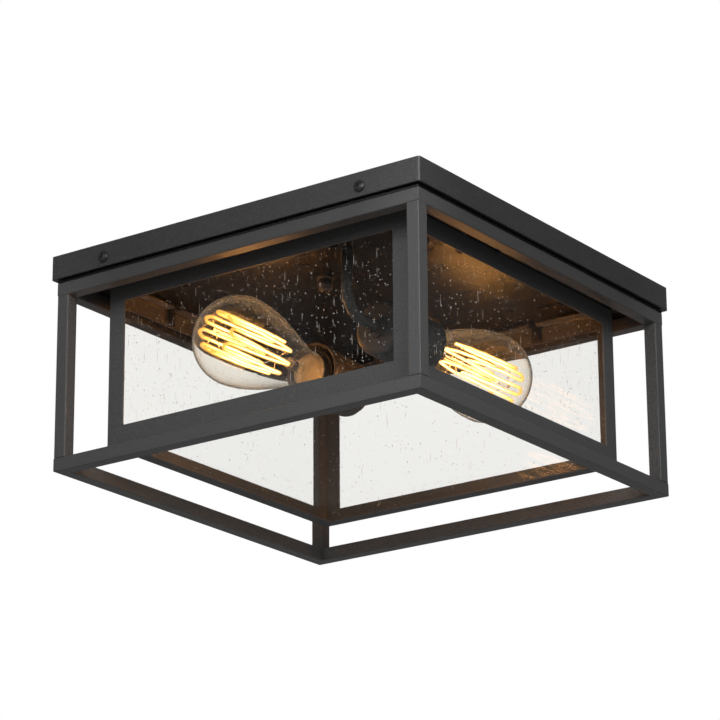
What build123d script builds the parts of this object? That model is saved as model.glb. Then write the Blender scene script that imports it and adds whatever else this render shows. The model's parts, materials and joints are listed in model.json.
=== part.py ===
"""Flush mount ceiling light: a square canopy, an open cage of square tube and an
inner box of seeded glass around two filament bulbs on bent arms.

The origin is the middle of the canopy's top rim, on the ceiling. +Z is up, -Y is
the front with the two side screws in view, and +X is to the right.
"""
import os
from math import cos, radians, sin, sqrt

from build123d import *

# Driving dimensions, in millimetres

# Overall size
canopy_size = 304.8
overall_height = 152.4

# Canopy: a shallow pan, open to the ceiling, with a flat sheet as its bottom
canopy_height = 16.7
canopy_sheet = 1.2
canopy_corner_r = 2.0
stud_spacing = 88.9
stud_hole_r = 2.25

# Side screws that clamp the frame's tabs
side_screw_inset = 46.4
side_screw_drop = 10.0
side_screw_r = 2.0
side_screw_hole_play = 0.25
side_screw_head_r = 3.9
side_screw_head_h = 2.4
side_screw_head_edge = 1.0
side_screw_tail = 1.2
thread_play = 0.05
spacer_width = 9.0
nut_plate_width = 16.0
nut_plate_sheet = 2.5
clamp_play = 0.2

# Ball nuts on the ceiling studs
ball_nut_r = 5.4
ball_nut_flange_r = 6.2
ball_nut_flange_h = 1.6
ball_nut_drop = 5.6

# Frame plate with its four upright tabs
canopy_overhang = 3.3
plate_sheet = 1.5
tab_sheet = 1.2
tab_width = 24.0
tab_top_drop = 4.6
slot_play = 0.4
tab_side_play = 0.4

# Cage of square tube
tube = 9.5
tube_wall = 1.0
tube_corner_r = 0.8

# Inner glass box, a frame of steel angle
glass_box_inset = 25.3
glass_box_height = 114.3
angle_leg = 12.7
angle_flange = 9.5
angle_sheet = 1.2
pane_thickness = 3.0
pane_play = 0.3
pane_face_gap = 0.1

# Spring clips over the box's top flange
clip_sheet = 0.4
clip_top_play = 0.1
clip_width = 6.0
clip_top_leg = 6.5
clip_tongue = 11.0
clip_play = 0.1

# Bent arms
arm_r = 4.0
arm_wall = 1.0
arm_drop_y = 82.5
arm_bend_r = 18.0
arm_rise = 5.0
arm_hole_play = 0.15
arm_reach_in = 4.5
arm_collar_r = 7.2
arm_collar_h = 3.5

# Lamp holders, measured along the right lamp's axis from the canopy's middle
lamp_x = 45.8
lamp_drop = 63.0
cup_back = -48.4
cup_mouth = -0.8
cup_flare = 2.3
cup_wall = 1.5
cup_holder_gap = 0.9
cup_round = 4.0
cup_collar_r = 7.2
cup_collar_h = 3.0
cup_lock_nut_flats = 14.0
cup_lock_nut_h = 3.0
holder_wall = 2.4
holder_mouth_set_back = 2.2
holder_floor = 6.0
shell_thread_play = 0.55
shell_sheet = 0.4
shell_play = 0.1
shell_set_back = 5.0
contact_width = 6.0
contact_sheet = 0.5
contact_side_gap = 1.45
contact_play = 0.1

# Bulb with a screw base and a tapered glass envelope
bulb_r = 31.3
bulb_end_room = 1.7
bulb_glass = 1.0
neck_inset = 0.65
base_top = 2.0
base_r = 13.05
base_rim_step = 0.45
base_rim_h = 2.0
base_length = 26.0
base_sheet = 0.5
base_cone = 3.0
base_cone_step = 4.0
insulator_h = 2.6
tip_contact_r = 4.8
tip_contact_h = 1.6

# Stem and filament inside the bulb
stem_foot_play = 0.2
stem_press_r = 4.0
stem_rod_r = 1.6
stem_press_at = 24.0
filament_near = 39.0
filament_end_room = 7.0
filament_near_r = 12.5
filament_far_r = 14.0
filament_strands = 12
filament_r = 0.35
support_r = 0.3
support_play = 0.1

# Derived places
canopy_half = canopy_size / 2
canopy_inside = canopy_half - canopy_sheet
sheet_bottom = -canopy_height
sheet_top = sheet_bottom + canopy_sheet
cage_half = canopy_half - canopy_overhang
plate_top = sheet_bottom - clip_top_play - clip_sheet
plate_bottom = plate_top - plate_sheet
cage_bottom = -overall_height
post_top = plate_bottom - tube
post_bottom = cage_bottom + tube
tube_centre = cage_half - tube / 2

box_half = cage_half - glass_box_inset
box_top = plate_bottom
box_bottom = box_top - glass_box_height
box_inside = box_half - angle_sheet
box_opening = box_half - angle_flange
stile_top = box_top - angle_leg
stile_bottom = box_bottom + angle_leg
pane_face = box_inside - pane_face_gap
pane_back = pane_face - pane_thickness
floor_pane_bottom = box_bottom + angle_sheet
floor_pane_top = floor_pane_bottom + pane_thickness
floor_pane_half = box_inside - pane_play
side_pane_top = box_top - angle_sheet - pane_play

screw_x = canopy_half - side_screw_inset
tab_face = cage_half
tab_back = tab_face - tab_sheet
spacer_face = tab_face + clamp_play
nut_plate_face = tab_back - clamp_play
nut_plate_back = nut_plate_face - nut_plate_sheet
nut_plate_height = 2 * (-side_screw_drop - sheet_top)

lamp_z = -lamp_drop
lamp_plane = Plane(origin=(lamp_x, 0, lamp_z), x_dir=(0, 1, 0), z_dir=(1, 0, 0))
lamp_axis = Axis((lamp_x, 0, lamp_z), (0, 1, 0))
arm_places = [(lamp_x, -arm_drop_y), (-lamp_x, arm_drop_y)]
arm_hole_r = arm_r + arm_hole_play
arm_top = sheet_top + arm_rise
cup_inside_back = cup_back + cup_wall
holder_back = cup_inside_back + cup_lock_nut_h
holder_mouth = cup_mouth - holder_mouth_set_back
holder_cavity = holder_back + holder_floor
shell_r = base_r + shell_thread_play + shell_sheet
holder_bore_r = shell_r + shell_play
holder_r = holder_bore_r + holder_wall
cup_back_r = holder_r + cup_holder_gap + cup_wall
cup_mouth_r = cup_back_r + cup_flare
base_end = base_top - base_length
base_rim_r = base_r + base_rim_step
base_cone_r = base_r - base_cone_step
bulb_neck_r = base_r - neck_inset
bulb_flank_steps = 3  # straight stretches in the slow curve of the envelope's side
bulb_tip = box_opening - bulb_end_room
bulb_centre = bulb_tip - bulb_r
filament_far = bulb_tip - filament_end_room
insulator_end = base_end - base_cone - insulator_h
tip_end = insulator_end - tip_contact_h
stem_foot_r = bulb_neck_r - bulb_glass - stem_foot_play

side_turns = {"front": 0, "right": 90, "rear": 180, "left": 270}
corner_turns = {"front_left": 0, "front_right": 90, "rear_right": 180, "rear_left": 270}
lamp_turns = {"right": 0, "left": 180}

os.makedirs("parts", exist_ok=True)


def save(piece, name):
    """Label one finished piece and write it as its own file."""
    piece.label = name
    export_step(piece, f"parts/{name}.step")


def save_turned(piece, name, turns):
    """Write a copy of the piece for each turn about the vertical axis."""
    for place, angle in turns.items():
        save(piece.rotate(Axis.Z, angle), f"{name}_{place}")


def save_pair(piece, name):
    """Write the piece for both lamps as one group."""
    with BuildPart() as pair:
        for angle in lamp_turns.values():
            add(piece.rotate(Axis.Z, angle))
    save(pair.part, name)


# Canopy top: the flat sheet over the lamps, with holes for the arms and studs and a slot for each tab
with BuildPart() as canopy_top:
    with BuildSketch(Plane.XY.offset(sheet_bottom)):
        Rectangle(2 * canopy_inside, 2 * canopy_inside)
        with Locations(*arm_places):
            Circle(arm_hole_r, mode=Mode.SUBTRACT)
        with GridLocations(0, stud_spacing, 1, 2):
            Circle(stud_hole_r, mode=Mode.SUBTRACT)
        with GridLocations(2 * screw_x, canopy_inside + nut_plate_face, 2, 2):
            Rectangle(tab_width + 2 * tab_side_play, canopy_inside - nut_plate_face, mode=Mode.SUBTRACT)
    extrude(amount=canopy_sheet)
save(canopy_top.part, "canopy_top")

# Canopy skirt: the wall all round, from the ceiling to the sheet, with a hole for each side screw
with BuildPart() as canopy_skirt:
    with BuildSketch(Plane.XY.offset(sheet_bottom)):
        RectangleRounded(canopy_size, canopy_size, canopy_corner_r)
        Rectangle(2 * canopy_inside, 2 * canopy_inside, mode=Mode.SUBTRACT)
    extrude(amount=canopy_height)
    with BuildSketch(Plane.XZ):
        with Locations((-screw_x, -side_screw_drop), (screw_x, -side_screw_drop)):
            Circle(side_screw_r + side_screw_hole_play)
    extrude(amount=canopy_half, both=True, mode=Mode.SUBTRACT)
save(canopy_skirt.part, "canopy_skirt")

# Square spacers welded inside the canopy's front and rear walls, one behind each side screw
with BuildPart() as clamp_spacers:
    for wall in (-1, 1):
        with BuildSketch(Plane.XZ.offset(-wall * canopy_inside)):
            with Locations((-screw_x, -side_screw_drop), (screw_x, -side_screw_drop)):
                Rectangle(spacer_width, spacer_width)
                Circle(side_screw_r + side_screw_hole_play, mode=Mode.SUBTRACT)
        extrude(amount=wall * (canopy_inside - spacer_face))
save(clamp_spacers.part, "clamp_spacers")

# Threaded nut plates, standing on the sheet, that draw the tabs against the spacers
with BuildPart() as clamp_nut_plates:
    for wall in (-1, 1):
        with BuildSketch(Plane.XZ.offset(-wall * nut_plate_face)):
            with Locations((-screw_x, -side_screw_drop), (screw_x, -side_screw_drop)):
                Rectangle(nut_plate_width, nut_plate_height)
                Circle(side_screw_r + thread_play, mode=Mode.SUBTRACT)
        extrude(amount=wall * nut_plate_sheet)
save(clamp_nut_plates.part, "clamp_nut_plates")

# Side screw: pan head outside the canopy wall, plain shank through to the nut plate
screw_end = nut_plate_back - side_screw_tail
with BuildPart() as side_screw:
    with BuildSketch(Plane(origin=(screw_x, 0, -side_screw_drop), x_dir=(0, -1, 0), z_dir=(1, 0, 0))):
        with BuildLine():
            Polyline(
                (screw_end, 0),
                (screw_end, side_screw_r),
                (canopy_half, side_screw_r),
                (canopy_half, side_screw_head_r),
                (canopy_half + side_screw_head_edge, side_screw_head_r),
            )
            head_top = (canopy_half + side_screw_head_h, 0)
            TangentArc(head_top, (canopy_half + side_screw_head_edge, side_screw_head_r), tangent=(0, 1))
            Line(head_top, (screw_end, 0))
        make_face()
    revolve(axis=Axis((screw_x, 0, -side_screw_drop), (0, 1, 0)))
save(side_screw.part, "side_screw_front_right")
save(mirror(side_screw.part, about=Plane.YZ), "side_screw_front_left")
save(mirror(side_screw.part, about=Plane.XZ), "side_screw_rear_right")
save(side_screw.part.rotate(Axis.Z, 180), "side_screw_rear_left")

# Ball nuts under the canopy sheet, run up on the two ceiling studs
ball_middle = sheet_bottom - ball_nut_drop
ball_nut_neck = sheet_bottom - ball_nut_flange_h
ball_nut_neck_r = sqrt(ball_nut_r**2 - (ball_nut_neck - ball_middle) ** 2)
ball_nut_end = ball_middle - sqrt(ball_nut_r**2 - stud_hole_r**2)
with BuildPart() as ball_nut:
    with BuildSketch(Plane.XZ):
        with BuildLine():
            Polyline(
                (stud_hole_r, sheet_bottom),
                (ball_nut_flange_r, sheet_bottom),
                (ball_nut_flange_r, ball_nut_neck),
                (ball_nut_neck_r, ball_nut_neck),
            )
            ThreePointArc(
                (ball_nut_neck_r, ball_nut_neck),
                (ball_nut_r, ball_middle),
                (stud_hole_r, ball_nut_end),
            )
            Line((stud_hole_r, ball_nut_end), (stud_hole_r, sheet_bottom))
        make_face()
    revolve(axis=Axis.Z)
with BuildPart() as ball_nuts:
    with Locations((0, -stud_spacing / 2, 0), (0, stud_spacing / 2, 0)):
        add(ball_nut.part)
save(ball_nuts.part, "ball_nuts")

# Frame plate: a flat ring on the cage's top rails, with four upright slotted tabs
with BuildPart() as frame_plate:
    with BuildSketch(Plane.XY.offset(plate_bottom)):
        Rectangle(2 * cage_half, 2 * cage_half)
        Rectangle(2 * box_opening, 2 * box_opening, mode=Mode.SUBTRACT)
    extrude(amount=plate_sheet)
    tab_y = tab_face - tab_sheet / 2
    with BuildSketch(Plane.XY.offset(plate_top)):
        with GridLocations(2 * screw_x, 2 * tab_y, 2, 2):
            Rectangle(tab_width, tab_sheet)
    extrude(amount=-tab_top_drop - plate_top)
    with BuildSketch(Plane.XZ):
        with Locations((-screw_x, -side_screw_drop), (screw_x, -side_screw_drop)):
            Circle(side_screw_r + slot_play)
            Rectangle(2 * (side_screw_r + slot_play), side_screw_drop, align=(Align.CENTER, Align.MIN))
    extrude(amount=canopy_half, both=True, mode=Mode.SUBTRACT)
save(frame_plate.part, "frame_plate")


def square_tube_rail(level):
    """One rail of the cage along the front, mitred at both ends, with its middle at this height."""
    with BuildPart() as rail:
        with BuildSketch(Plane(origin=(-cage_half, -tube_centre, level), x_dir=(0, 1, 0), z_dir=(1, 0, 0))):
            RectangleRounded(tube, tube, tube_corner_r)
            Rectangle(tube - 2 * tube_wall, tube - 2 * tube_wall, mode=Mode.SUBTRACT)
        extrude(amount=2 * cage_half)
        split(bisect_by=Plane(origin=(0, 0, 0), z_dir=(1, 1, 0)), keep=Keep.BOTTOM)
        split(bisect_by=Plane(origin=(0, 0, 0), z_dir=(-1, 1, 0)), keep=Keep.BOTTOM)
    return rail.part


save_turned(square_tube_rail(plate_bottom - tube / 2), "cage_top_rail", side_turns)
save_turned(square_tube_rail(cage_bottom + tube / 2), "cage_bottom_rail", side_turns)

# Cage posts, standing between the two rings of rails
with BuildPart() as cage_post:
    with BuildSketch(Plane(origin=(-tube_centre, -tube_centre, post_bottom))):
        RectangleRounded(tube, tube, tube_corner_r)
        Rectangle(tube - 2 * tube_wall, tube - 2 * tube_wall, mode=Mode.SUBTRACT)
    extrude(amount=post_top - post_bottom)
save_turned(cage_post.part, "cage_post", corner_turns)


def mitred_angle(web_low, flange_low):
    """One length of angle along the front of the glass box, mitred at both ends."""
    with BuildPart() as angle:
        with BuildSketch(Plane.XY.offset(web_low)):
            with Locations((0, -box_half)):
                Rectangle(2 * box_half, angle_sheet, align=(Align.CENTER, Align.MIN))
        extrude(amount=angle_leg)
        with BuildSketch(Plane.XY.offset(flange_low)):
            with Locations((0, -box_half)):
                Rectangle(2 * box_half, angle_flange, align=(Align.CENTER, Align.MIN))
        extrude(amount=angle_sheet)
        split(bisect_by=Plane(origin=(0, 0, 0), z_dir=(1, 1, 0)), keep=Keep.BOTTOM)
        split(bisect_by=Plane(origin=(0, 0, 0), z_dir=(-1, 1, 0)), keep=Keep.BOTTOM)
    return angle.part


# Glass box rings: the top one's flange lies under the frame plate, the bottom one's under the floor pane
save_turned(mitred_angle(stile_top, box_top - angle_sheet), "glass_frame_top", side_turns)
save_turned(mitred_angle(box_bottom, box_bottom), "glass_frame_bottom", side_turns)

# Corner stiles of the glass box, angle steel between the two rings
with BuildPart() as glass_stile:
    with BuildSketch(Plane(origin=(-box_half, -box_half, stile_bottom))):
        Rectangle(angle_leg, angle_leg, align=Align.MIN)
        with Locations((angle_sheet, angle_sheet)):
            Rectangle(angle_leg, angle_leg, align=Align.MIN, mode=Mode.SUBTRACT)
    extrude(amount=stile_top - stile_bottom)
save_turned(glass_stile.part, "glass_stile", corner_turns)

# Panes of seeded glass: a floor pane on the bottom flange, and four sides standing on it
with BuildPart() as glass_pane_floor:
    with BuildSketch(Plane.XY.offset(floor_pane_bottom)):
        Rectangle(2 * floor_pane_half, 2 * floor_pane_half)
    extrude(amount=pane_thickness)
save(glass_pane_floor.part, "glass_pane_floor")


def side_pane(half_width):
    """A pane standing on the floor pane against the front of the glass box."""
    with BuildPart() as pane:
        with BuildSketch(Plane.XZ.offset(pane_back)):
            with Locations((0, (floor_pane_top + side_pane_top) / 2)):
                Rectangle(2 * half_width, side_pane_top - floor_pane_top)
        extrude(amount=pane_thickness)
    return pane.part


save_turned(side_pane(floor_pane_half), "glass_pane", {"front": 0, "rear": 180})
save_turned(side_pane(pane_back - pane_play), "glass_pane", {"right": 90, "left": 270})

# Spring clips pushed over the plate and flange, with a tongue that holds each pane outwards
clip_front = box_opening - clip_sheet / 2
clip_above = plate_top + clip_sheet / 2
clip_below = box_top - angle_sheet - clip_sheet / 2
clip_heel = pane_back - clip_play - clip_sheet / 2
with BuildPart() as clip_pair:
    for place in (-box_half / 2, box_half / 2):
        with BuildSketch(Plane(origin=(place, 0, 0), x_dir=(0, -1, 0), z_dir=(-1, 0, 0))):
            with BuildLine():
                Polyline(
                    (clip_front + clip_top_leg, clip_above),
                    (clip_front, clip_above),
                    (clip_front, clip_below),
                    (clip_heel, clip_below),
                    (clip_heel, clip_below - clip_tongue),
                )
            trace(line_width=clip_sheet)
        extrude(amount=clip_width / 2, both=True)
with BuildPart() as glass_clips:
    for angle in side_turns.values():
        add(clip_pair.part.rotate(Axis.Z, angle))
save(glass_clips.part, "glass_clips")

# Bent arm: tube from inside the canopy down, round the bend and into the cup's back
arm_end = cup_inside_back + arm_reach_in
with BuildPart() as arm:
    with BuildLine() as arm_path:
        FilletPolyline(
            (lamp_x, -arm_drop_y, arm_top),
            (lamp_x, -arm_drop_y, lamp_z),
            (lamp_x, arm_end, lamp_z),
            radius=arm_bend_r,
        )
    with BuildSketch(Plane(origin=(lamp_x, -arm_drop_y, arm_top))):
        Circle(arm_r)
        Circle(arm_r - arm_wall, mode=Mode.SUBTRACT)
    sweep()
save_turned(arm.part, "arm", lamp_turns)

# Collars that hold the arms' ends, seated on the canopy sheet inside the pan
with BuildPart() as arm_collars:
    with BuildSketch(Plane.XY.offset(sheet_top)):
        with Locations(*arm_places):
            Circle(arm_collar_r)
            Circle(arm_hole_r, mode=Mode.SUBTRACT)
    extrude(amount=arm_collar_h)
save(arm_collars.part, "arm_collars")

# Socket cup: a flared steel cover with a hole in its back for the arm
with BuildPart() as socket_cup:
    with BuildSketch(lamp_plane):
        with BuildLine():
            outline = FilletPolyline(
                (cup_back, arm_hole_r), (cup_back, cup_back_r), (cup_mouth, cup_mouth_r), radius=cup_round
            )
            inside = Polyline(
                (cup_inside_back, arm_hole_r),
                (cup_inside_back, cup_back_r - cup_round),
                (cup_inside_back + cup_round - cup_wall, cup_back_r - cup_wall),
                (cup_mouth, cup_mouth_r - cup_wall),
            )
            Line(outline @ 0, inside @ 0)
            Line(outline @ 1, inside @ 1)
        make_face()
    revolve(axis=lamp_axis)
save_turned(socket_cup.part, "socket_cup", lamp_turns)

# Collar outside and lock nut inside each cup's back, tight on the arm
cup_back_plane = Plane(origin=(lamp_x, cup_back, lamp_z), x_dir=(1, 0, 0), z_dir=(0, -1, 0))
cup_inside_plane = Plane(origin=(lamp_x, cup_inside_back, lamp_z), x_dir=(1, 0, 0), z_dir=(0, 1, 0))
with BuildPart() as cup_collar:
    with BuildSketch(cup_back_plane):
        Circle(cup_collar_r)
        Circle(arm_hole_r, mode=Mode.SUBTRACT)
    extrude(amount=cup_collar_h)
with BuildPart() as cup_lock_nut:
    with BuildSketch(cup_inside_plane):
        RegularPolygon(cup_lock_nut_flats / 2, 6, major_radius=False)
        Circle(arm_hole_r, mode=Mode.SUBTRACT)
    extrude(amount=cup_lock_nut_h)
with BuildPart() as cup_nuts:
    for angle in lamp_turns.values():
        add(cup_collar.part.rotate(Axis.Z, angle))
        add(cup_lock_nut.part.rotate(Axis.Z, angle))
save(cup_nuts.part, "cup_nuts")

# Lamp holder body: a moulded insulator that seats on the lock nut and carries the screw shell
with BuildPart() as holder_body:
    with BuildSketch(lamp_plane):
        with BuildLine():
            Polyline(
                (holder_back, arm_hole_r),
                (holder_back, holder_r),
                (holder_mouth, holder_r),
                (holder_mouth, holder_bore_r),
                (holder_cavity, holder_bore_r),
                (holder_cavity, arm_hole_r),
                close=True,
            )
        make_face()
    revolve(axis=lamp_axis)
save_turned(holder_body.part, "holder_body", lamp_turns)

# Screw shell, a brass sleeve that stands on the holder's floor
shell_mouth = holder_mouth - shell_set_back
with BuildPart() as screw_shell:
    with BuildSketch(Plane(origin=(lamp_x, holder_cavity, lamp_z), x_dir=(1, 0, 0), z_dir=(0, 1, 0))):
        Circle(shell_r)
        Circle(shell_r - shell_sheet, mode=Mode.SUBTRACT)
    extrude(amount=shell_mouth - holder_cavity)
save_pair(screw_shell.part, "screw_shells")

# Centre contact: a springy brass tongue that rises from the floor to the bulb's tip
tongue_rise = tip_end - contact_play - contact_sheet / 2
tongue_foot = holder_cavity + contact_sheet / 2
tongue_side = shell_r - shell_sheet - contact_side_gap
with BuildPart() as centre_contact:
    with BuildSketch(lamp_plane):
        with BuildLine():
            Polyline(
                (tongue_foot, tongue_side),
                (tongue_foot, arm_hole_r),
                (tongue_rise, -tip_contact_r / 2),
                (tongue_rise, -tip_contact_r - contact_sheet),
            )
        trace(line_width=contact_sheet)
    extrude(amount=contact_width / 2, both=True)
save_pair(centre_contact.part, "centre_contacts")


def bulb_outline(skin):
    """Half outline of the envelope, set in by a skin: a slow curve from the neck into a round end."""
    run = bulb_centre - base_top
    drop = bulb_r - bulb_neck_r
    slow_r = (run**2 + drop**2) / (2 * drop)
    flank = []
    for step in range(bulb_flank_steps + 1):
        back = run * (1 - step / bulb_flank_steps)
        flank.append((bulb_centre - back, bulb_r - skin - slow_r + sqrt(slow_r**2 - back**2)))
    tip = (bulb_tip - skin, 0)
    Polyline(*flank)
    TangentArc(flank[-1], tip, tangent=(1, 0))
    Polyline(tip, (base_top, 0), flank[0])


# Bulb envelope: a tapered glass bulb with a thin wall, open at the neck
with BuildPart() as bulb_glass_part:
    with BuildSketch(lamp_plane):
        with BuildLine():
            bulb_outline(0)
        make_face()
    revolve(axis=lamp_axis)
    with BuildSketch(lamp_plane):
        with BuildLine():
            bulb_outline(bulb_glass)
        make_face()
    revolve(axis=lamp_axis, mode=Mode.SUBTRACT)
save_turned(bulb_glass_part.part, "bulb_glass", lamp_turns)

# Screw base of the bulb: a brass cap with a rim round the neck and a cone at its end
with BuildPart() as bulb_base:
    with BuildSketch(lamp_plane):
        with BuildLine():
            Polyline(
                (base_top, base_rim_r - base_sheet),
                (base_top, base_rim_r),
                (base_top - base_rim_h, base_r),
                (base_end, base_r),
                (base_end - base_cone, base_cone_r),
                (base_end - base_cone, base_cone_r - base_sheet),
                (base_end, base_r - 2 * base_sheet),
                (base_top - base_rim_h, base_r - base_sheet),
                close=True,
            )
        make_face()
    revolve(axis=lamp_axis)
save_turned(bulb_base.part, "bulb_base", lamp_turns)

# End of the base: black glass insulator with the tip contact in its middle
with BuildPart() as bulb_end:
    with BuildSketch(lamp_plane):
        with BuildLine():
            Polyline(
                (tip_end, 0),
                (base_end - base_cone, 0),
                (base_end - base_cone, base_cone_r),
                (insulator_end, tip_contact_r),
            )
            TangentArc((tip_end, 0), (insulator_end, tip_contact_r), tangent=(0, 1))
        make_face()
    revolve(axis=lamp_axis)
save_turned(bulb_end.part, "bulb_end", lamp_turns)


def spoke(at, radius, angle):
    """A point beside the right lamp's axis: how far along, how far out and at which angle."""
    turn = radians(angle)
    return Vector(lamp_x + radius * cos(turn), at, lamp_z + radius * sin(turn))


def rod_between(start, end, radius, sides):
    """A straight rod of many-sided section from one point to another."""
    run = end - start
    with BuildPart() as rod:
        with BuildSketch(Plane(origin=start, z_dir=run)):
            RegularPolygon(radius, sides)
        extrude(amount=run.length)
    return rod.part


# Stem: a glass foot in the neck, a rod along the axis and two crowns of support wires
strand_step = 360 / filament_strands
with BuildPart() as bulb_stem:
    with BuildSketch(lamp_plane):
        with BuildLine():
            Polyline(
                (base_top, 0),
                (base_top, stem_foot_r),
                (stem_press_at / 2, stem_press_r),
                (stem_press_at, stem_press_r),
                (stem_press_at + stem_press_r, stem_rod_r),
                (filament_far + stem_rod_r, stem_rod_r),
                (filament_far + stem_rod_r, 0),
                close=True,
            )
        make_face()
    revolve(axis=lamp_axis)
    for pair in range(filament_strands // 2):
        far_angle = (2 * pair + 0.5) * strand_step
        near_angle = (2 * pair + 1.5) * strand_step
        far_out = filament_far_r * cos(radians(strand_step / 2)) - filament_r - support_play
        near_out = filament_near_r * cos(radians(strand_step / 2)) - filament_r - support_play
        far_end = spoke(filament_far, far_out, far_angle)
        near_end = spoke(filament_near, near_out, near_angle)
        add(rod_between(spoke(filament_far, 0, 0), far_end, support_r, 3))
        add(rod_between(spoke(filament_near, 0, 0), near_end, support_r, 3))
save_turned(bulb_stem.part, "bulb_stem", lamp_turns)

# Filament: one wire laced up and down between the two crowns, open at one place
with BuildPart() as bulb_filament:
    for strand in range(filament_strands):
        angle = strand * strand_step
        near_end = spoke(filament_near, filament_near_r, angle)
        far_end = spoke(filament_far, filament_far_r, angle)
        add(rod_between(near_end, far_end, filament_r, 3))
        if strand % 2 == 0:
            next_far = spoke(filament_far, filament_far_r, angle + strand_step)
            add(rod_between(far_end, next_far, filament_r, 3))
        elif strand < filament_strands - 1:
            next_near = spoke(filament_near, filament_near_r, angle + strand_step)
            add(rod_between(near_end, next_near, filament_r, 3))
save_turned(bulb_filament.part, "bulb_filament", lamp_turns)
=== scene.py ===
"""Looks of a square flush mount ceiling light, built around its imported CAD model."""

import json
import math
import random

import bmesh
import bpy
from mathutils import Matrix, Vector

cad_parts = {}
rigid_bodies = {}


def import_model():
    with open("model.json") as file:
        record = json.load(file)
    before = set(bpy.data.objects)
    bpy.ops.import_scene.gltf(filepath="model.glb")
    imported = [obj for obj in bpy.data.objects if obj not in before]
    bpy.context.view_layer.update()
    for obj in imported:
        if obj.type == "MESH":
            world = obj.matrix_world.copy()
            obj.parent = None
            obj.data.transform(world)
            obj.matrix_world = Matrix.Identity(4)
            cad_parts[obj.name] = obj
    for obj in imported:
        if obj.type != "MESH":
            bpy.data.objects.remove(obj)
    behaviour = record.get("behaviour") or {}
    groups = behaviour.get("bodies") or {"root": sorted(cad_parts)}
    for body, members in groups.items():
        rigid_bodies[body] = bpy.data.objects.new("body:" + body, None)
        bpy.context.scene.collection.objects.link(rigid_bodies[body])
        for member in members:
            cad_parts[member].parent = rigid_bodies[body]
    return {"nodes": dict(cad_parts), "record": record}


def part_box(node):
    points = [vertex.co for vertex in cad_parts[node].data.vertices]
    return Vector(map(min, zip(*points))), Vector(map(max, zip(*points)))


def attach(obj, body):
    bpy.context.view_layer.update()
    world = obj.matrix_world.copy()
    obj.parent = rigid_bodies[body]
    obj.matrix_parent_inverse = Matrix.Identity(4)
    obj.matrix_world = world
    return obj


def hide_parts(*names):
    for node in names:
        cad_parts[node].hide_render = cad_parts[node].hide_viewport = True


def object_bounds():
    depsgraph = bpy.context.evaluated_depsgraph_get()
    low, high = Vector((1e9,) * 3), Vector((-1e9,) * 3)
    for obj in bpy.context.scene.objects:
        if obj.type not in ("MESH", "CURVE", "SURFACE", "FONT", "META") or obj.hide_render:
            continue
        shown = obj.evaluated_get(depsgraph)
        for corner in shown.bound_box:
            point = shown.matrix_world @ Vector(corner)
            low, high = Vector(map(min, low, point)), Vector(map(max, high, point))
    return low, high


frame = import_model()
cad_low, cad_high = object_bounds()
nodes = frame["nodes"]
scene = bpy.context.scene
scene.view_settings.view_transform = "Standard"


# Materials

def new_material(name):
    """A material with one Principled shader; returns it, its node tree and the shader."""
    mat = bpy.data.materials.new(name)
    mat.use_nodes = True
    tree = mat.node_tree
    shader = tree.nodes["Principled BSDF"]
    return mat, tree, shader


def object_coordinates(tree):
    return tree.nodes.new("ShaderNodeTexCoord").outputs["Object"]


def noise(tree, coordinates, scale, detail=2.0, roughness=0.5):
    node = tree.nodes.new("ShaderNodeTexNoise")
    node.inputs["Scale"].default_value = scale
    node.inputs["Detail"].default_value = detail
    node.inputs["Roughness"].default_value = roughness
    tree.links.new(coordinates, node.inputs["Vector"])
    return node.outputs["Fac"]


def ramp(tree, source, *stops):
    """A colour ramp from (position, colour) stops."""
    node = tree.nodes.new("ShaderNodeValToRGB")
    elements = node.color_ramp.elements
    while len(elements) < len(stops):
        elements.new(0.5)
    for element, (place, colour) in zip(elements, stops):
        element.position = place
        element.color = (*colour, 1.0)
    tree.links.new(source, node.inputs["Fac"])
    return node.outputs["Color"]


def value_map(tree, source, low, high, from_low=0.0, from_high=1.0):
    """Map a value from one range to another."""
    node = tree.nodes.new("ShaderNodeMapRange")
    node.inputs["From Min"].default_value = from_low
    node.inputs["From Max"].default_value = from_high
    node.inputs["To Min"].default_value = low
    node.inputs["To Max"].default_value = high
    tree.links.new(source, node.inputs["Value"])
    return node.outputs["Result"]


def maths(tree, operation, *sources):
    """A maths node on sockets or plain numbers."""
    node = tree.nodes.new("ShaderNodeMath")
    node.operation = operation
    for place, source in enumerate(sources):
        if isinstance(source, (int, float)):
            node.inputs[place].default_value = source
        else:
            tree.links.new(source, node.inputs[place])
    return node.outputs["Value"]


def mixed(tree, factor, first, second):
    """One shader or another, by a factor."""
    node = tree.nodes.new("ShaderNodeMixShader")
    if isinstance(factor, float):
        node.inputs["Fac"].default_value = factor
    else:
        tree.links.new(factor, node.inputs["Fac"])
    tree.links.new(first, node.inputs[1])
    tree.links.new(second, node.inputs[2])
    return node.outputs["Shader"]


def colour_mix(tree, factor, first, second):
    """One colour or another, by a factor."""
    node = tree.nodes.new("ShaderNodeMix")
    node.data_type = "RGBA"
    tree.links.new(factor, node.inputs["Factor"])
    colours = [place for place in node.inputs if place.type == "RGBA"]
    for source, place in zip((first, second), colours):
        tree.links.new(source, place)
    return [place for place in node.outputs if place.type == "RGBA"][0]


def bump(tree, shader, height, distance, strength=1.0, edge=0.0):
    """Fine relief on a shader and, on sheet metal, edges softened by a small radius."""
    node = tree.nodes.new("ShaderNodeBump")
    if edge:
        soft = tree.nodes.new("ShaderNodeBevel")
        soft.inputs["Radius"].default_value = edge
        tree.links.new(soft.outputs["Normal"], node.inputs["Normal"])
    node.inputs["Strength"].default_value = strength
    node.inputs["Distance"].default_value = distance
    tree.links.new(height, node.inputs["Height"])
    tree.links.new(node.outputs["Normal"], shader.inputs["Normal"])


def grey(level):
    return (level, level, level)


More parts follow.
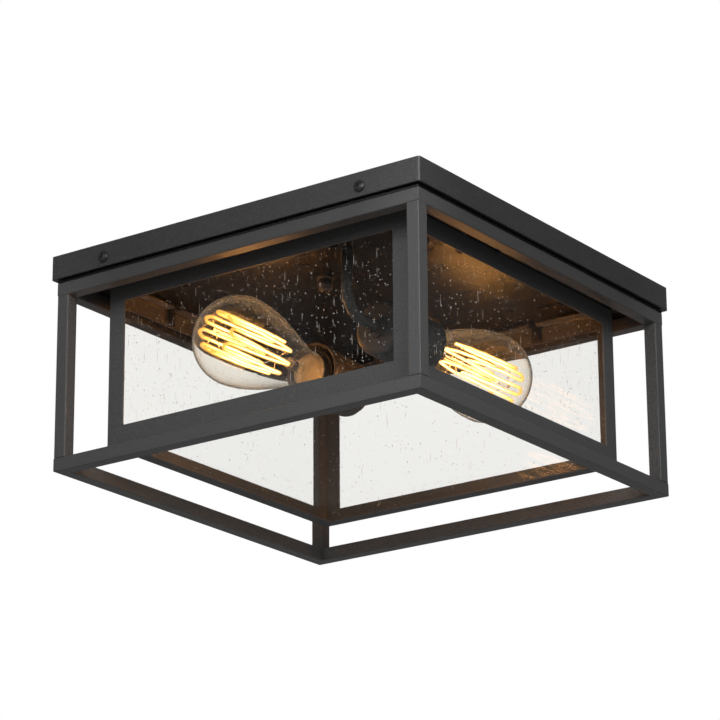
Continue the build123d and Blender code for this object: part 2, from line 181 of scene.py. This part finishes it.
def corner_highlight_mask(tree, coordinates):
    """From 0 along the sides of the square to 1 at its corners: the mask of a painted highlight."""
    parts = tree.nodes.new("ShaderNodeSeparateXYZ")
    tree.links.new(coordinates, parts.inputs["Vector"])
    across = [maths(tree, "ABSOLUTE", parts.outputs[axis]) for axis in "XY"]
    start, end = 0.65 * cad_high.x, 0.93 * cad_high.x
    return value_map(tree, maths(tree, "MINIMUM", *across), 0.0, 1.0, start, end)


def coat_material(name, dark, light, rough_low, rough_high, grain, shine, corner=1.0):
    """Black powder coat with a fine grain and cloudy gloss; a corner factor above 1 paints a highlight,
    paler towards the corners.
    """
    mat, tree, shader = new_material(name)
    coordinates = object_coordinates(tree)
    cloud_scale, relief, relief_strength, edge = 45.0, 0.00025, 0.5, 0.0005
    fine = noise(tree, coordinates, grain, 3.0, 0.6)
    cloud = noise(tree, coordinates, cloud_scale, 3.0)
    colour = ramp(tree, fine, (0.3, grey(dark)), (0.7, grey(light)))
    # A corner factor above 1 paints a highlight: the colour turns paler towards the square's corners.
    if corner > 1.0:
        painted_corner_highlight = ramp(tree, fine, (0.3, grey(dark * corner)), (0.7, grey(light * corner)))
        colour = colour_mix(tree, corner_highlight_mask(tree, coordinates), colour, painted_corner_highlight)
    tree.links.new(colour, shader.inputs["Base Color"])
    tree.links.new(value_map(tree, cloud, rough_low, rough_high), shader.inputs["Roughness"])
    shader.inputs["Specular IOR Level"].default_value = shine
    bump(tree, shader, fine, relief, relief_strength, edge)
    return mat


def metal_material(name, dark, light, rough_low, rough_high, scale):
    """Bare metal with slight tarnish."""
    mat, tree, shader = new_material(name)
    coordinates = object_coordinates(tree)
    relief_scale, relief, relief_strength = 12 * scale, 0.00005, 0.4
    spots = noise(tree, coordinates, scale, 4.0, 0.6)
    tree.links.new(ramp(tree, spots, (0.3, dark), (0.7, light)), shader.inputs["Base Color"])
    tree.links.new(value_map(tree, spots, rough_low, rough_high), shader.inputs["Roughness"])
    shader.inputs["Metallic"].default_value = 1.0
    bump(tree, shader, noise(tree, coordinates, relief_scale), relief, relief_strength)
    return mat


def glaze_material(name, dark, light, rough_low, rough_high):
    """Moulded insulator with faint clouds."""
    mat, tree, shader = new_material(name)
    coordinates = object_coordinates(tree)
    cloud_scale, relief, relief_strength = 120.0, 0.0001, 0.3
    cloud = noise(tree, coordinates, cloud_scale, 3.0)
    tree.links.new(ramp(tree, cloud, (0.3, dark), (0.7, light)), shader.inputs["Base Color"])
    tree.links.new(value_map(tree, cloud, rough_low, rough_high), shader.inputs["Roughness"])
    bump(tree, shader, cloud, relief, relief_strength)
    return mat


def glass_material(name, tint, ior, wave_scale, wave_depth, rim_reflection_share):
    """Clear glass with gentle waves; lamp rays pass it. With a rim share, the outline turns partly clear
    and takes a grey diffuse rim, a painted reflection.
    """
    mat, tree, shader = new_material(name)
    coordinates = object_coordinates(tree)
    shader.inputs["Base Color"].default_value = (*tint, 1.0)
    shader.inputs["Roughness"].default_value = 0.0
    shader.inputs["IOR"].default_value = ior
    shader.inputs["Transmission Weight"].default_value = 1.0
    bump(tree, shader, noise(tree, coordinates, wave_scale, 2.0), wave_depth)
    clear = tree.nodes.new("ShaderNodeBsdfTransparent")
    clear.inputs["Color"].default_value = (*tint, 1.0)
    surface = shader.outputs["BSDF"]
    if rim_reflection_share:
        weight = tree.nodes.new("ShaderNodeLayerWeight")
        weight.inputs["Blend"].default_value = 0.25
        facing = weight.outputs["Facing"]
        clear_share, rim_reflection_colour = 0.85, (0.58, 0.64, 0.68, 1.0)
        rim = value_map(tree, facing, 0.0, clear_share, 0.45, 0.9)
        surface = mixed(tree, rim, surface, clear.outputs["BSDF"])
        # A grey diffuse at the outline stands in for the glass edge's reflection: painted reflection.
        painted_rim_reflection = tree.nodes.new("ShaderNodeBsdfDiffuse")
        painted_rim_reflection.inputs["Color"].default_value = rim_reflection_colour
        edge = value_map(tree, facing, 0.0, rim_reflection_share, 0.15, 0.8)
        surface = mixed(tree, edge, surface, painted_rim_reflection.outputs["BSDF"])
    path = tree.nodes.new("ShaderNodeLightPath")
    surface = mixed(tree, path.outputs["Is Shadow Ray"], surface, clear.outputs["BSDF"])
    tree.links.new(surface, tree.nodes["Material Output"].inputs["Surface"])
    return mat


def seed_material(name, milk):
    """A bubble in glass, with a share of scattered light that makes it pale on dark and grey on white."""
    mat, tree, shader = new_material(name)
    air_in_glass, wave_scale, wave_depth = 0.7, 200.0, 0.00001
    shader.inputs["Base Color"].default_value = (1.0, 1.0, 1.0, 1.0)
    shader.inputs["Roughness"].default_value = 0.0
    shader.inputs["IOR"].default_value = air_in_glass
    shader.inputs["Transmission Weight"].default_value = 1.0
    bump(tree, shader, noise(tree, object_coordinates(tree), wave_scale, 2.0), wave_depth)
    scatter = tree.nodes.new("ShaderNodeBsdfDiffuse")
    scatter.inputs["Color"].default_value = (0.9, 0.9, 0.88, 1.0)
    clear = tree.nodes.new("ShaderNodeBsdfTransparent")
    path = tree.nodes.new("ShaderNodeLightPath")
    surface = mixed(tree, milk, shader.outputs["BSDF"], scatter.outputs["BSDF"])
    surface = mixed(tree, path.outputs["Is Shadow Ray"], surface, clear.outputs["BSDF"])
    tree.links.new(surface, tree.nodes["Material Output"].inputs["Surface"])
    return mat


def halo_material(name, colour, strength, cover):
    """Glare round a hot wire: mostly clear, with a share of coloured light."""
    mat, tree, _ = new_material(name)
    cloud_scale, least, most = 160.0, 0.6 * cover, 1.4 * cover
    cloud = noise(tree, object_coordinates(tree), cloud_scale, 2.0)
    shine = tree.nodes.new("ShaderNodeEmission")
    shine.inputs["Color"].default_value = (*colour, 1.0)
    shine.inputs["Strength"].default_value = strength
    clear = tree.nodes.new("ShaderNodeBsdfTransparent")
    cover_map = value_map(tree, cloud, least, most)
    path = tree.nodes.new("ShaderNodeLightPath")
    surface = mixed(tree, cover_map, clear.outputs["BSDF"], shine.outputs["Emission"])
    surface = mixed(tree, path.outputs["Is Shadow Ray"], surface, clear.outputs["BSDF"])
    tree.links.new(surface, tree.nodes["Material Output"].inputs["Surface"])
    return mat


def glow_material(name, near, far):
    """Hot wire: orange at the hairpins by the tip, white along the strands."""
    mat, tree, shader = new_material(name)
    coordinates = object_coordinates(tree)
    parts = tree.nodes.new("ShaderNodeSeparateXYZ")
    tree.links.new(coordinates, parts.inputs["Vector"])
    along = maths(tree, "ABSOLUTE", parts.outputs["Y"])
    ripple_scale, ripple_reach = 70.0, 0.12
    ripple = value_map(tree, noise(tree, coordinates, ripple_scale, 2.0), -ripple_reach, ripple_reach)
    spread = value_map(tree, along, 0.0, 1.0, near, far)
    heat = maths(tree, "ADD", spread, ripple)
    strand, bend, hairpin = (1.0, 0.46, 0.14), (1.0, 0.42, 0.1), (1.0, 0.34, 0.04)
    strand_strength, hairpin_strength, cold = 13.0, 1.5, (0.3, 0.15, 0.05, 1.0)
    colour = ramp(tree, heat, (0.7, strand), (0.85, bend), (1.0, hairpin))
    strength = value_map(tree, heat, strand_strength, hairpin_strength, 0.74, 0.97)
    shader.inputs["Base Color"].default_value = cold
    shader.inputs["Roughness"].default_value = 0.5
    tree.links.new(colour, shader.inputs["Emission Color"])
    tree.links.new(strength, shader.inputs["Emission Strength"])
    return mat


filament_low, filament_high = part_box("bulb_filament_right")
# Coats: dark and light shade, roughness from and to, grain scale, shine, gain of the painted highlight at
# the corners
coat = coat_material("black_coat", 0.044, 0.086, 0.28, 0.38, 1100.0, 0.22)
# Top rails: a darker copy of the black coat, painted shade, with a painted highlight towards the corners.
rail_coat = coat_material("rail_coat", 0.032, 0.060, 0.28, 0.38, 1100.0, 0.3, 1.41)
# Canopy skirt: a darker copy of the black coat, painted shade, with a painted highlight towards the
# corners.
canopy_coat = coat_material("canopy_coat", 0.022, 0.045, 0.28, 0.38, 1100.0, 0.35, 1.25)
# Pan sheet and frame plate: a near-black copy of the coat, painted shade under the canopy.
inner_coat = coat_material("inner_coat", 0.003, 0.006, 0.24, 0.32, 1400.0, 0.5)
# Arms, cups and nuts: a darker copy of the black coat, painted shade inside the glass box.
arm_coat = coat_material("arm_coat", 0.040, 0.056, 0.22, 0.32, 1400.0, 0.5)
screw_black = coat_material("black_screw", 0.012, 0.020, 0.2, 0.3, 2500.0, 0.5)
# Metals and insulator: dark and light shade, roughness from and to, scale of the tarnish
clip_black = metal_material("spring_steel", grey(0.03), grey(0.06), 0.3, 0.45, 90.0)
zinc = metal_material("zinc_steel", grey(0.45), grey(0.62), 0.3, 0.45, 70.0)
brass = metal_material("brass", (0.56, 0.50, 0.32), (0.72, 0.66, 0.46), 0.42, 0.58, 80.0)
insulator = glaze_material("black_insulator", grey(0.012), grey(0.02), 0.1, 0.2)
# Glass: tint, index, scale and depth of the waves, share of painted reflection at the outline
pane_glass = glass_material("seeded_glass", (0.955, 0.953, 0.937), 1.22, 38.0, 0.00006, 0.0)
floor_glass = glass_material("floor_glass", (0.998, 0.996, 0.985), 1.08, 38.0, 0.00006, 0.0)
seed_air = seed_material("seed_air", 0.4)
bulb_glass = glass_material("bulb_glass", (0.98, 0.97, 0.935), 1.25, 20.0, 0.00003, 0.23)
glow = glow_material("filament", filament_low.y, filament_high.y)
halo = halo_material("wire_glare", (1.0, 0.5, 0.1), 1.5, 0.42)

by_slot = {
    "black_coat": coat,
    "black_screw": screw_black,
    "spring_steel": clip_black,
    "zinc_steel": zinc,
    "brass": brass,
    "black_insulator": insulator,
    "seeded_glass": pane_glass,
    "bulb_glass": bulb_glass,
    "filament": glow,
}
for row in frame["record"]["subparts"]:
    piece = nodes[row["node"]]
    piece.data.materials.clear()
    piece.data.materials.append(by_slot[row["material_slot"]])
# Pieces that take the darker and corner-lit coat copies above (painted shade and painted highlight), and
# the floor pane its own glass.
painted_light_coats_and_floor_glass = {
    canopy_coat: ("canopy_skirt",),
    rail_coat: ("cage_top_rail",),
    inner_coat: ("canopy_top", "frame_plate"),
    arm_coat: ("arm_", "socket_cup", "cup_nuts", "ball_nuts"),
    floor_glass: ("glass_pane_floor",),
}
for swapped_material, starts in painted_light_coats_and_floor_glass.items():
    for name, piece in nodes.items():
        if name.startswith(starts):
            piece.data.materials[0] = swapped_material


# Mesh helpers

def mesh_piece(name, points, faces, material, body, slot):
    """A closed, smooth mesh with outward faces that rides on a body."""
    mesh = bpy.data.meshes.new(name)
    mesh.from_pydata(points, [], faces)
    work = bmesh.new()
    work.from_mesh(mesh)
    bmesh.ops.recalc_face_normals(work, faces=work.faces)
    work.to_mesh(mesh)
    work.free()
    for polygon in mesh.polygons:
        polygon.use_smooth = True
    mesh.materials.append(material)
    piece = bpy.data.objects.new(name, mesh)
    scene.collection.objects.link(piece)
    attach(piece, body)
    return piece


def lathe(profile, segments, shape=None):
    """Points and faces of a solid of revolution about the Y axis.

    The profile is a list of (along, radius) from one end of the axis to the other, or a
    closed loop when its first point is off the axis. The shape adds to the radius by
    along, radius and angle.
    """
    points = []
    rings = []
    for along, radius in profile:
        ring = []
        for step in range(segments if radius > 0 else 1):
            angle = 2 * math.pi * step / segments
            reach = radius + (shape(along, radius, angle) if shape and radius > 0 else 0)
            ring.append(len(points))
            points.append(Vector((reach * math.cos(angle), along, reach * math.sin(angle))))
        rings.append(ring)
    pairs = list(zip(rings, rings[1:]))
    if profile[0][1] > 0:
        pairs.append((rings[-1], rings[0]))
    faces = []
    for first, second in pairs:
        for step in range(segments):
            after = (step + 1) % segments
            if len(first) == 1:
                faces.append((first[0], second[after], second[step]))
            elif len(second) == 1:
                faces.append((first[step], first[after], second[0]))
            else:
                faces.append((first[step], first[after], second[after], second[step]))
    return points, faces


def tube(path, radius, sides):
    """Points and faces of a closed-ended round tube along a path."""
    points = []
    faces = []
    side = (path[1] - path[0]).orthogonal().normalized()
    for place, here in enumerate(path):
        along = (path[min(place + 1, len(path) - 1)] - path[max(place - 1, 0)]).normalized()
        side = (side - along * side.dot(along)).normalized()
        across = along.cross(side)
        for step in range(sides):
            angle = 2 * math.pi * step / sides
            points.append(here + radius * (math.cos(angle) * side + math.sin(angle) * across))
    for place in range(len(path) - 1):
        for step in range(sides):
            after = (step + 1) % sides
            start = place * sides
            faces.append((start + step, start + after, start + sides + after, start + sides + step))
    last = (len(path) - 1) * sides
    faces.append(tuple(range(sides)))
    faces.append(tuple(last + step for step in range(sides)))
    return points, faces


def joined(meshes):
    """One list of points and faces out of several."""
    points = []
    faces = []
    for more_points, more_faces in meshes:
        start = len(points)
        points.extend(more_points)
        faces.extend(tuple(start + index for index in face) for face in more_faces)
    return points, faces


def moved(mesh, matrix):
    points, faces = mesh
    return [matrix @ point for point in points], faces


def ellipsoid(centre, half_sizes, segments=6, rings=4):
    """A small closed ball stretched along X, Y and Z."""
    profile = []
    for step in range(rings + 1):
        angle = math.pi * step / rings
        profile.append((-math.cos(angle), math.sin(angle) if 0 < step < rings else 0.0))
    matrix = Matrix.Translation(centre) @ Matrix.Diagonal((*half_sizes, 1.0))
    return moved(lathe(profile, segments), matrix)


# Seeds: small bubbles inside each pane

def pane_seeds(side, count, drawn, draw):
    """Bubbles in one pane, most of them round, the rest stretched the way the glass was drawn."""
    low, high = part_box(f"glass_pane_{side}")
    middle = (low + high) / 2
    reach = (high - low) / 2
    thin = min(range(3), key=lambda axis: reach[axis])
    margin, round_share, flat, depth_share = 0.003, 0.88, 0.8, 0.3
    round_half, round_stretch = (0.00015, 0.0004), (1.0, 1.8)
    drawn_half, drawn_length = (0.00009, 0.00014), (0.0008, 0.0044)
    bubbles = []
    for _ in range(count):
        round_one = draw.random() < round_share
        small = draw.uniform(*(round_half if round_one else drawn_half))
        length = small * draw.uniform(*round_stretch) if round_one else draw.uniform(*drawn_length)
        half = [small, small, small]
        half[drawn] = length
        half[thin] = small * flat
        centre = Vector()
        for axis in range(3):
            room = depth_share * reach[axis] if axis == thin else reach[axis] - margin - length
            centre[axis] = middle[axis] + draw.uniform(-room, room)
        bubbles.append(ellipsoid(centre, half))
    mesh_piece(f"seeds_{side}", *joined(bubbles), seed_air, "frame", "seeded_glass")


seed_draw = random.Random(11)
for side, count in (("front", 950), ("right", 650), ("rear", 350), ("left", 350)):
    pane_seeds(side, count, 2, seed_draw)
pane_seeds("floor", 150, 1, seed_draw)


# Bulbs

lamp_turns = {"right": 0.0, "left": math.pi}


def lamp_frame(side):
    """From lamp coordinates, with +Y towards the tip and the axis at the origin, to the light's."""
    low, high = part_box(f"bulb_glass_{side}")
    middle = (low + high) / 2
    turn = Matrix.Rotation(lamp_turns[side], 4, "Z")
    return Matrix.Translation((middle.x, 0, middle.z)) @ turn


def bulb_profile(skin, steps):
    """Half outline of the envelope, set in by a skin: slim by the neck, full towards a round end."""
    low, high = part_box("bulb_glass_right")
    neck_at, tip = low.y, high.y - skin
    ball = (high.x - low.x) / 2 - skin
    neck_inset, fullness = 0.0011, 1.55
    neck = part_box("bulb_base_right")[1].x - (low.x + high.x) / 2 - neck_inset - skin
    centre = tip - ball
    outline = []
    for step in range(steps):
        back = 1 - (step / steps) ** 2
        full = 1 - back ** fullness
        slim = 0.5 + 0.5 * math.cos(math.pi * back)
        radius = neck + (ball - neck) * (full + slim) / 2
        outline.append((centre - (centre - neck_at) * back, radius))
    for step in range(steps + 1):
        angle = math.pi / 2 * (1 - step / steps)
        radius = ball * math.sin(angle) if step < steps else 0.0
        outline.append((centre + ball * math.cos(angle), radius))
    return outline


def bulb_envelope(side):
    wall, rings, segments = 0.0009, 24, 72
    outer = bulb_profile(0.0, rings)
    inner = bulb_profile(wall, rings)
    shell = moved(lathe(inner[::-1] + outer, segments), lamp_frame(side))
    piece = mesh_piece(f"envelope_{side}", *shell, bulb_glass, f"bulb_{side}", "bulb_glass")
    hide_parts(f"bulb_glass_{side}")


def filament_path(side):
    """One wire laced up and down, in rounded hairpins by the tip and narrow ones by the neck."""
    low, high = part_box(f"bulb_filament_{side}")
    near, far = sorted((abs(low.y), abs(high.y)))
    wire_room, narrowing = 0.0008, 0.89
    far_r = (high.x - low.x) / 2 - wire_room
    near_r = far_r * narrowing
    strands, hairpin, rise_steps, bend_steps = 16, 0.0034, 12, 6
    bow, sway, pinch = 0.0010, 0.05, 0.85
    draw = random.Random(5)
    path = []
    half_step = math.pi / strands
    for strand in range(strands):
        side_of_pair = -1 if strand % 2 else 1
        pair = 2 * half_step * strand - side_of_pair * half_step
        rise = [step / rise_steps for step in range(rise_steps + 1)]
        if strand % 2:
            rise.reverse()
        lean = draw.uniform(-sway, sway)
        for part in rise:
            swell = bow * math.sin(math.pi * part) * draw.uniform(0.4, 1.0)
            radius = near_r + (far_r - near_r) * part + swell
            apart = 1 - pinch * (1 - part) ** 4
            turn = pair + side_of_pair * half_step * apart + lean * math.sin(math.pi * part)
            along = near + (far - near - hairpin) * part
            path.append(Vector((radius * math.cos(turn), along, radius * math.sin(turn))))
        if strand % 2 or strand == strands - 1:
            continue
        for step in range(1, bend_steps):
            part = step / bend_steps
            turn = pair + half_step * (1 + 2 * part)
            along = far - hairpin + hairpin * math.sin(math.pi * part)
            path.append(Vector((far_r * math.cos(turn), along, far_r * math.sin(turn))))
    return path


def bulb_wire(side):
    path = filament_path(side)
    wire_r, glare_r = 0.0007, 0.0014
    wire = moved(tube(path, wire_r, 6), lamp_frame(side))
    piece = mesh_piece(f"hot_wire_{side}", *wire, glow, f"bulb_{side}", "filament")
    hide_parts(f"bulb_filament_{side}")
    glare = moved(tube(path, glare_r, 8), lamp_frame(side))
    mesh_piece(f"wire_glare_{side}", *glare, halo, f"bulb_{side}", "filament")


def thread_of(pitch, depth, start, end):
    """A helical ridge between two places along the axis, fading out at both."""
    def ridge(along, angle):
        fade = min(1.0, max(0.0, (along - start) / pitch), max(0.0, (end - along) / pitch))
        return -depth * fade * (0.5 - 0.5 * math.cos(2 * math.pi * along / pitch - angle))
    return ridge


def bulb_cap(side):
    """Brass screw cap with a rolled thread."""
    low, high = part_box("bulb_base_right")
    top, end = high.y, low.y
    rim = (high.x - low.x) / 2
    rim_step, rim_height, shoulder, sheet = 0.00045, 0.0012, 0.002, 0.0005
    plain_end, web_sink, end_inset, end_edge = 0.003, 0.0004, 0.004, 0.0045
    lining, cone_lining = 0.0014, 0.002
    body, inside = rim - rim_step, rim - sheet
    thread_top, cone, web = top - plain_end, end + plain_end, top - web_sink
    profile = [(web, share * inside) for share in (0.0, 0.5, 0.95, 1.0)]
    profile += [(top, inside), (top, rim), (top - rim_height, rim), (top - shoulder, body)]
    steps = 64
    for step in range(steps + 1):
        profile.append((thread_top + (cone - thread_top) * step / steps, body))
    lined = body - lining
    profile += [(end, body - end_inset), (end, body - end_edge), (cone, body - cone_lining)]
    profile += [(thread_top, lined), (web - sheet, lined), (web - sheet, 0.0)]
    pitch, thread_depth = 0.003629, 0.0009
    threads = thread_of(pitch, thread_depth, cone, thread_top)

    def outside_only(along, radius, angle):
        return threads(along, angle) if radius == body else 0.0
    cap = moved(lathe(profile, 48, outside_only), lamp_frame(side))
    piece = mesh_piece(f"screw_cap_{side}", *cap, brass, f"bulb_{side}", "brass")
    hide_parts(f"bulb_base_{side}")


for side in lamp_turns:
    bulb_envelope(side)
    bulb_wire(side)
    bulb_cap(side)


# Side screws: pan heads with a cross recess

def side_screw(place):
    node = f"side_screw_{place}"
    low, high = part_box(node)
    middle = (low + high) / 2
    head_r = (high.x - low.x) / 2
    shank_r, head_h, edge = 0.002, 0.0024, 0.0009
    front = middle.y < 0
    length = high.y - low.y
    arm_half, arm_reach, depth = 0.00055, 0.0021, 0.0011
    side_slope, end_slope, recess_turn = 0.00015, 0.0004, 0.5
    rings, segments = 26, 96
    profile = [(-length, 0.0), (-length, shank_r), (-head_h, shank_r)]
    profile += [(-head_h, head_r), (-head_h + edge, head_r)]
    for step in range(1, rings):
        radius = head_r * (1 - step / rings)
        profile.append((-(head_h - edge) * (radius / head_r) ** 2, radius))
    profile.append((-depth, 0.0))
    points, faces = lathe(profile, segments)
    top_start = 1 + 4 * segments
    for point in points[top_start:-1]:
        across, along = sorted((abs(point.x), abs(point.z)))
        inside = min(1.0, max(0.0, (arm_half - across) / side_slope + 0.5))
        inside *= min(1.0, max(0.0, (arm_reach - along) / end_slope + 0.5))
        if point.y > -head_h + edge:
            point.y -= depth * inside
    turn = Matrix.Rotation(math.pi if front else 0.0, 4, "Z") @ Matrix.Rotation(recess_turn, 4, "Y")
    outer = low.y if front else high.y
    screw = moved((points, faces), Matrix.Translation((middle.x, outer, middle.z)) @ turn)
    piece = mesh_piece(f"cross_screw_{place}", *screw, screw_black, node, "black_screw")
    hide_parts(node)


for place in ("front_left", "front_right", "rear_left", "rear_right"):
    side_screw(place)


# Stage: floor, world and lamps

white = (1.0, 1.0, 1.0, 1.0)
mirror_below, mirror_dim = 0.16, 0.075


def either(tree, first, second):
    return maths(tree, "MAXIMUM", first, second)


def ray_kinds(tree, path):
    """Which rays came through glass alone, and which were mirrored, before any matt surface.

    The last value is how bright a mirrored ray sees the room below: dimmer where it passed glass.
    """
    no_matt = maths(tree, "LESS_THAN", path.outputs["Diffuse Depth"], 0.5)
    any_mirror = maths(tree, "GREATER_THAN", path.outputs["Glossy Depth"], 0.5)
    mirrored = maths(tree, "MULTIPLY", any_mirror, no_matt)
    glass = maths(tree, "MULTIPLY", path.outputs["Is Transmission Ray"], no_matt)
    through = maths(tree, "MULTIPLY", glass, maths(tree, "SUBTRACT", 1.0, any_mirror))
    below = value_map(tree, path.outputs["Transmission Depth"], mirror_below, mirror_dim)
    return through, mirrored, below


def pale_floor():
    """A pale floor, dim to mirror rays, that keeps a share of its shading in view."""
    mesh = bpy.data.meshes.new("floor")
    reach, depth, white_share = 40, 2.4, 0.85
    corners = [(-reach, -reach, 0), (reach, -reach, 0), (reach, reach, 0), (-reach, reach, 0)]
    mesh.from_pydata(corners, [], [(0, 1, 2, 3)])
    floor = bpy.data.objects.new("floor", mesh)
    floor.location = (0, 0, -depth)
    scene.collection.objects.link(floor)
    mat, tree, shader = new_material("pale_floor")
    shader.inputs["Base Color"].default_value = (0.82, 0.82, 0.81, 1.0)
    shader.inputs["Roughness"].default_value = 0.8
    plain_white = tree.nodes.new("ShaderNodeEmission")
    pale = mixed(tree, white_share, shader.outputs["BSDF"], plain_white.outputs["Emission"])
    path = tree.nodes.new("ShaderNodeLightPath")
    through, mirrored, below = ray_kinds(tree, path)
    dim = tree.nodes.new("ShaderNodeEmission")
    tree.links.new(below, dim.inputs["Strength"])
    seen = either(tree, path.outputs["Is Camera Ray"], through)
    surface = mixed(tree, seen, shader.outputs["BSDF"], pale)
    surface = mixed(tree, mirrored, surface, dim.outputs["Emission"])
    tree.links.new(surface, tree.nodes["Material Output"].inputs["Surface"])
    mesh.materials.append(mat)


def studio_world(soft_strength):
    """Soft light all round; white to camera and glass rays; dimmer to mirror rays."""
    world = bpy.data.worlds.new("studio")
    scene.world = world
    world.use_nodes = True
    tree = world.node_tree
    soft = tree.nodes["Background"]
    soft.inputs["Color"].default_value = white
    soft.inputs["Strength"].default_value = soft_strength
    bright = tree.nodes.new("ShaderNodeBackground")
    bright.inputs["Color"].default_value = white
    bright.inputs["Strength"].default_value = 1.0
    room = tree.nodes.new("ShaderNodeBackground")
    room.inputs["Color"].default_value = white
    parts = tree.nodes.new("ShaderNodeSeparateXYZ")
    tree.links.new(tree.nodes.new("ShaderNodeTexCoord").outputs["Generated"], parts.inputs["Vector"])
    path = tree.nodes.new("ShaderNodeLightPath")
    through, mirrored, below = ray_kinds(tree, path)
    blur = 0.15
    height = value_map(tree, parts.outputs["Z"], 0.0, 1.0, -blur, blur)
    level = tree.nodes.new("ShaderNodeMix")
    level.inputs["B"].default_value = mirror_dim
    tree.links.new(height, level.inputs["Factor"])
    tree.links.new(below, level.inputs["A"])
    tree.links.new(level.outputs["Result"], room.inputs["Strength"])
    surface = mixed(tree, mirrored, soft.outputs["Background"], room.outputs["Background"])
    seen = either(tree, path.outputs["Is Camera Ray"], through)
    surface = mixed(tree, seen, surface, bright.outputs["Background"])
    tree.links.new(surface, tree.nodes["World Output"].inputs["Surface"])


def area_lamp(name, place, aim, size, power):
    data = bpy.data.lights.new(name, "AREA")
    data.shape = "RECTANGLE"
    data.size = size
    data.size_y = size
    data.energy = power
    lamp = bpy.data.objects.new(name, data)
    lamp.location = place
    lamp.rotation_euler = (Vector(aim) - Vector(place)).to_track_quat("-Z", "Y").to_euler()
    lamp.visible_camera = False
    lamp.visible_transmission = False
    scene.collection.objects.link(lamp)


def warm_lamps(side, count, power, lit):
    """Light of one bulb, spread along its filament, on the pieces of a collection."""
    low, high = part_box(f"bulb_filament_{side}")
    warm, lamp_r = (1.0, 0.37, 0.08), 0.012
    for place in range(count):
        data = bpy.data.lights.new(f"{side}_glow_{place}", "POINT")
        data.color = warm
        data.energy = power / count
        data.shadow_soft_size = lamp_r
        lamp = bpy.data.objects.new(f"{side}_glow_{place}", data)
        lamp.location = (low + high) / 2
        lamp.location.y = low.y + (high.y - low.y) * (place + 0.5) / count
        lamp.visible_camera = False
        lamp.visible_transmission = False
        lamp.light_linking.receiver_collection = lit
        scene.collection.objects.link(lamp)


pale_floor()
studio_world(0.42)
# Lamps: place, aim, side of the square, power
area_lamp("key", (1.1, -0.7, 0.38), (0.1, -0.1, -0.03), 0.7, 7)
area_lamp("near_right", (0.55, -0.65, 0.1), (0.1, -0.1, -0.12), 0.4, 2.6)
area_lamp("near_front", (-0.2, -1.3, 0.3), (-0.08, -0.1, -0.12), 0.5, 3.4)
area_lamp("below", (0.1, -0.1, -1.5), (0.0, 0.0, 0.0), 0.8, 2)
warm_pieces = bpy.data.collections.new("warm_pieces")
unlit = ("glass_pane", "bulb_glass", "envelope", "screw_cap", "floor")
for piece in scene.objects:
    if not piece.name.startswith(unlit):
        warm_pieces.objects.link(piece)
for side in lamp_turns:
    warm_lamps(side, 3, 0.48, warm_pieces)


# Camera, at the photograph's viewing angle

camera_place = Vector((1.2141067, -1.6957703, -0.7735786))
yaw, pitch, roll = 0.6229, 0.3282, -0.0068
forward = Vector((-math.sin(yaw) * math.cos(pitch), math.cos(yaw) * math.cos(pitch), math.sin(pitch)))
across = Vector((math.cos(yaw), math.sin(yaw), 0.0))
upright = across.cross(forward)
right = math.cos(roll) * across + math.sin(roll) * upright
up = -math.sin(roll) * across + math.cos(roll) * upright
camera_data = bpy.data.cameras.new("camera")
camera_data.sensor_width = 36.0
camera_data.lens = 160.827
camera_data.clip_start = 0.05
camera_data.clip_end = 50.0
camera = bpy.data.objects.new("camera", camera_data)
turn = Matrix((right, up, -forward)).transposed().to_4x4()
camera.matrix_world = Matrix.Translation(camera_place) @ turn
scene.collection.objects.link(camera)
scene.camera = camera
